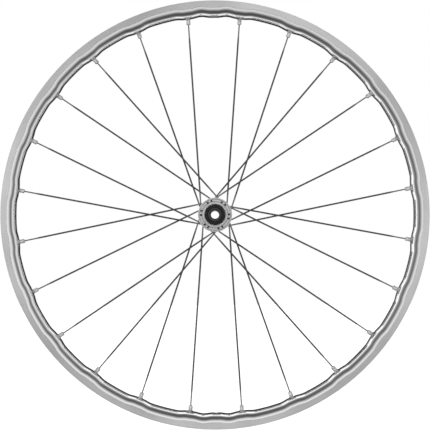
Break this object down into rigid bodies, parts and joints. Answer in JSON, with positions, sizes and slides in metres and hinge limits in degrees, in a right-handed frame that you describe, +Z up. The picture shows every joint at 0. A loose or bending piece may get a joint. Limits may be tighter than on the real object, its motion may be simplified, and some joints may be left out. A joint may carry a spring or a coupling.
{
  "type": "bicycle front wheel",
  "caption": "Silver 700C front disc-brake bicycle wheel: shallow aluminium rim, crossed flat straight-pull spokes and a through-axle hub, without tyre.",
  "frame": {"origin": "the wheel's centre, on the axle's axis in the middle plane of the rim", "axes": "+Y along the axle from the disc-brake side to the plain side, +Z up to the rim joint with the valve hole at the bottom, +X to the right as seen from the disc side"},
  "size_m": [0.634, 0.1, 0.6339],
  "materials": {
    "rim_alloy": "brushed sides, polished channel",
    "hub_alloy": "turned and polished",
    "spoke_steel": "drawn stainless",
    "nipple_alloy": "turned, clear anodised",
    "ferrule_steel": "pressed",
    "axle_alloy": "turned",
    "cap_black": "black anodised, satin",
    "bearing_steel": "ground",
    "seal_rubber": "matt",
    "cage_nylon": "moulded"
  },
  "bodies": {
    "axle": {"axle_tube": "axle_alloy", "end_cap_disc_side": "cap_black", "axle_ring_disc_side": "seal_rubber", "bearing_inner_race_disc_side": "bearing_steel", "end_cap_plain_side": "cap_black", "axle_ring_plain_side": "seal_rubber", "bearing_inner_race_plain_side": "bearing_steel"},
    "wheel": {"rim": "rim_alloy", "rim_joint_sleeve": "rim_alloy", "nipples": "nipple_alloy", "nipple_ferrules": "ferrule_steel", "hub_shell": "hub_alloy", "spoke_plain_side_01": "spoke_steel", "spoke_disc_side_01": "spoke_steel", "spoke_plain_side_02": "spoke_steel", "spoke_disc_side_02": "spoke_steel", "spoke_plain_side_03": "spoke_steel", "spoke_disc_side_03": "spoke_steel", "spoke_plain_side_04": "spoke_steel", "spoke_disc_side_04": "spoke_steel", "spoke_plain_side_05": "spoke_steel", "spoke_disc_side_05": "spoke_steel", "spoke_plain_side_06": "spoke_steel", "spoke_disc_side_06": "spoke_steel", "spoke_plain_side_07": "spoke_steel", "spoke_disc_side_07": "spoke_steel", "spoke_plain_side_08": "spoke_steel", "spoke_disc_side_08": "spoke_steel", "spoke_plain_side_09": "spoke_steel", "spoke_disc_side_09": "spoke_steel", "spoke_plain_side_10": "spoke_steel", "spoke_disc_side_10": "spoke_steel", "spoke_plain_side_11": "spoke_steel", "spoke_disc_side_11": "spoke_steel", "spoke_plain_side_12": "spoke_steel", "spoke_disc_side_12": "spoke_steel", "bearing_outer_race_disc_side": "bearing_steel", "bearing_seal_a_disc_side": "seal_rubber", "bearing_seal_b_disc_side": "seal_rubber", "bearing_outer_race_plain_side": "bearing_steel", "bearing_seal_a_plain_side": "seal_rubber", "bearing_seal_b_plain_side": "seal_rubber"},
    "balls_disc_side": {"bearing_balls_disc_side": "bearing_steel", "bearing_cage_disc_side": "cage_nylon"},
    "balls_plain_side": {"bearing_balls_plain_side": "bearing_steel", "bearing_cage_plain_side": "cage_nylon"}
  },
  "joints": [
    {"name": "wheel_spin", "type": "hinge", "parent": "axle", "child": "wheel", "pos_m": [0, 0, 0], "axis": [0, 1, 0], "continuous": true},
    {"name": "ball_set_spin_disc_side", "type": "hinge", "parent": "axle", "child": "balls_disc_side", "pos_m": [0, -0.0298, 0], "axis": [0, 1, 0], "continuous": true},
    {"name": "ball_set_spin_plain_side", "type": "hinge", "parent": "axle", "child": "balls_plain_side", "pos_m": [0, 0.035, 0], "axis": [0, 1, 0], "continuous": true}
  ],
  "couplings": [
    {"joint": "ball_set_spin_disc_side", "follows": "wheel_spin", "ratio": 0.5774},
    {"joint": "ball_set_spin_plain_side", "follows": "wheel_spin", "ratio": 0.5774}
  ]
}
